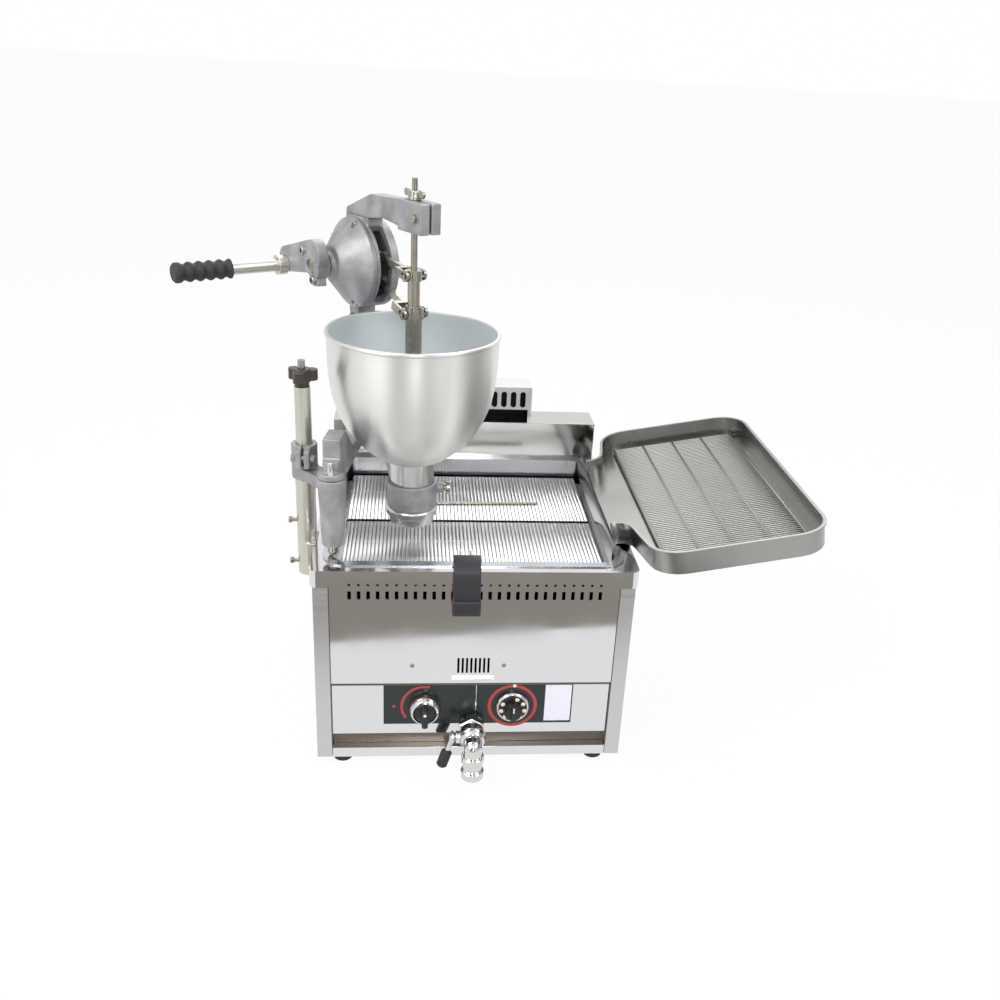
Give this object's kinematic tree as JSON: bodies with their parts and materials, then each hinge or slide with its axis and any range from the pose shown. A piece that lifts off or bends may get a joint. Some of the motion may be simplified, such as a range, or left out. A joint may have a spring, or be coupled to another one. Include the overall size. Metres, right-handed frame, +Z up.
{
  "type": "donut fryer",
  "caption": "Countertop gas donut fryer: stainless fry cabinet with screens, drain valve and flue, swinging hand-cranked batter depositor and sloping draining tray.",
  "frame": {"origin": "centre of the cabinet footprint on the counter", "axes": "+X to the right towards the draining tray, +Y to the back, +Z up"},
  "size_m": [0.9126, 0.5905, 0.825],
  "materials": {
    "stainless": "bright polished stainless sheet",
    "panStainless": "mirror polished stainless sheet",
    "trayStainless": "brushed stainless sheet",
    "wire": "plated steel wire",
    "spunAluminium": "satin spun aluminium",
    "castAluminium": "as-cast aluminium, lightly painted",
    "nickel": "nickel plated steel",
    "brass": "machined brass",
    "castIron": "cast iron",
    "rubber": "black rubber",
    "blackPlastic": "black moulded plastic",
    "slatePlastic": "dark slate moulded plastic",
    "blackPlate": "gloss black printed plate"
  },
  "bodies": {
    "cabinet": {"side_panels": "stainless", "base_plate": "stainless", "rear_panel": "stainless", "front_panel": "stainless", "control_panel": "stainless", "rim_deck": "stainless", "feet": "rubber", "fry_pan": "panStainless", "flue_box": "stainless", "chimney": "stainless", "control_plates": "blackPlate", "gas_valve": "brass", "gas_pipe": "nickel", "burner": "castIron", "thermostat_body": "nickel", "drain_pipe": "nickel", "valve_body": "nickel", "post_bracket": "castAluminium", "set_screws": "nickel", "post": "nickel"},
    "gas_control": {"gas_knob": "blackPlastic", "gas_bezel": "nickel"},
    "thermostat_control": {"thermostat_dial": "blackPlastic", "dial_ring": "nickel"},
    "drain_handle": {"valve_ball": "nickel", "drain_lever": "blackPlastic"},
    "lifting_screen": {"front_screen": "wire", "lifter_wires": "wire", "lifter_grip": "slatePlastic"},
    "rear_screen": {"back_screen": "wire"},
    "tray": {"drain_tray": "trayStainless"},
    "rack": {"tray_rack": "wire"},
    "height_screw": {"lift_screw": "nickel", "post_knob": "blackPlastic"},
    "carriage": {"traveller": "brass", "clamp_casting": "castAluminium", "clamp_bolt": "nickel"},
    "head": {"swing_shaft": "nickel", "depositor_frame": "castAluminium", "hopper": "spunAluminium", "neck_cylinder": "nickel", "nozzle_ring": "nickel", "housing_back": "castAluminium", "housing_cover": "castAluminium", "top_arm": "castAluminium", "housing_bolts": "nickel"},
    "thumb": {"thumb_screw": "nickel"},
    "crank": {"cam_disc": "castIron", "crank_shaft": "nickel", "crank_arm": "castAluminium", "handle_rod": "nickel", "lock_nut": "nickel", "grip": "rubber"},
    "upper_link": {"upper_lever": "nickel"},
    "lower_link": {"lower_lever": "nickel"},
    "plunger": {"inner_plunger": "nickel", "upper_collar": "nickel"},
    "sleeve": {"outer_sleeve": "nickel", "lower_collar": "nickel"},
    "stroke": {"stroke_nut": "nickel"}
  },
  "joints": [
    {"name": "gas_turn", "type": "hinge", "parent": "cabinet", "child": "gas_control", "pos_m": [-0.069, -0.25, 0.101], "axis": [0, -1, 0], "range_deg": [0, 180]},
    {"name": "thermostat_turn", "type": "hinge", "parent": "cabinet", "child": "thermostat_control", "pos_m": [0.06, -0.25, 0.101], "axis": [0, -1, 0], "range_deg": [-270, 0]},
    {"name": "drain_turn", "type": "hinge", "parent": "cabinet", "child": "drain_handle", "pos_m": [0, -0.278, 0.07], "axis": [-1, 0, 0], "range_deg": [0, 90]},
    {"name": "front_screen_lift", "type": "slide", "parent": "cabinet", "child": "lifting_screen", "axis": [0, 0, 1], "range_m": [0, 0.03]},
    {"name": "back_screen_lift", "type": "slide", "parent": "cabinet", "child": "rear_screen", "axis": [0, 0, 1], "range_m": [0, 0.1]},
    {"name": "tray_lift", "type": "slide", "parent": "cabinet", "child": "tray", "axis": [0, 0, 1], "range_m": [0, 0.05]},
    {"name": "rack_lift", "type": "slide", "parent": "tray", "child": "rack", "axis": [-0.1736, 0, 0.9848], "range_m": [0, 0.06]},
    {"name": "head_lift", "type": "slide", "parent": "cabinet", "child": "carriage", "axis": [0, 0, 1], "range_m": [0, 0.03]},
    {"name": "height_knob_turn", "type": "hinge", "parent": "cabinet", "child": "height_screw", "pos_m": [-0.24, -0.15, 0.57], "axis": [0, 0, 1], "range_deg": [-2, 1082]},
    {"name": "head_swing", "type": "hinge", "parent": "carriage", "child": "head", "pos_m": [-0.199, -0.202, 0.444], "axis": [0, 0, 1], "range_deg": [-32, 10]},
    {"name": "thumb_turn", "type": "hinge", "parent": "head", "child": "thumb", "pos_m": [-0.051, -0.093, 0.3855], "axis": [1, 0, 0], "continuous": true},
    {"name": "crank_turn", "type": "hinge", "parent": "head", "child": "crank", "pos_m": [-0.16307, 0.02234, 0.692], "axis": [0.848, 0.5299, 0], "range_deg": [0, 180]},
    {"name": "upper_lever_turn", "type": "hinge", "parent": "head", "child": "upper_link", "pos_m": [-0.14399, -0.00819, 0.70763], "axis": [-0.848, -0.5299, 0], "range_deg": [-0.2, 7.06]},
    {"name": "lower_lever_turn", "type": "hinge", "parent": "head", "child": "lower_link", "pos_m": [-0.14399, -0.00819, 0.6728], "axis": [-0.848, -0.5299, 0], "range_deg": [-0.2, 15.89]},
    {"name": "plunger_slide", "type": "slide", "parent": "head", "child": "plunger", "axis": [0, 0, 1], "range_m": [-0.0002, 0.0122]},
    {"name": "sleeve_slide", "type": "slide", "parent": "head", "child": "sleeve", "axis": [0, 0, 1], "range_m": [-0.0002, 0.0282]},
    {"name": "stroke_nut_turn", "type": "hinge", "parent": "plunger", "child": "stroke", "pos_m": [-0.091, -0.093, 0.803], "axis": [0, 0, 1], "continuous": true}
  ],
  "couplings": [
    {"joint": "height_knob_turn", "follows": "head_lift", "rad_per_m": 628.32},
    {"joint": "upper_lever_turn", "follows": "crank_turn", "ratio": 0.038102},
    {"joint": "lower_lever_turn", "follows": "crank_turn", "ratio": 0.087169},
    {"joint": "plunger_slide", "follows": "crank_turn", "m_per_rad": 0.0038197},
    {"joint": "sleeve_slide", "follows": "crank_turn", "m_per_rad": 0.0089127}
  ]
}
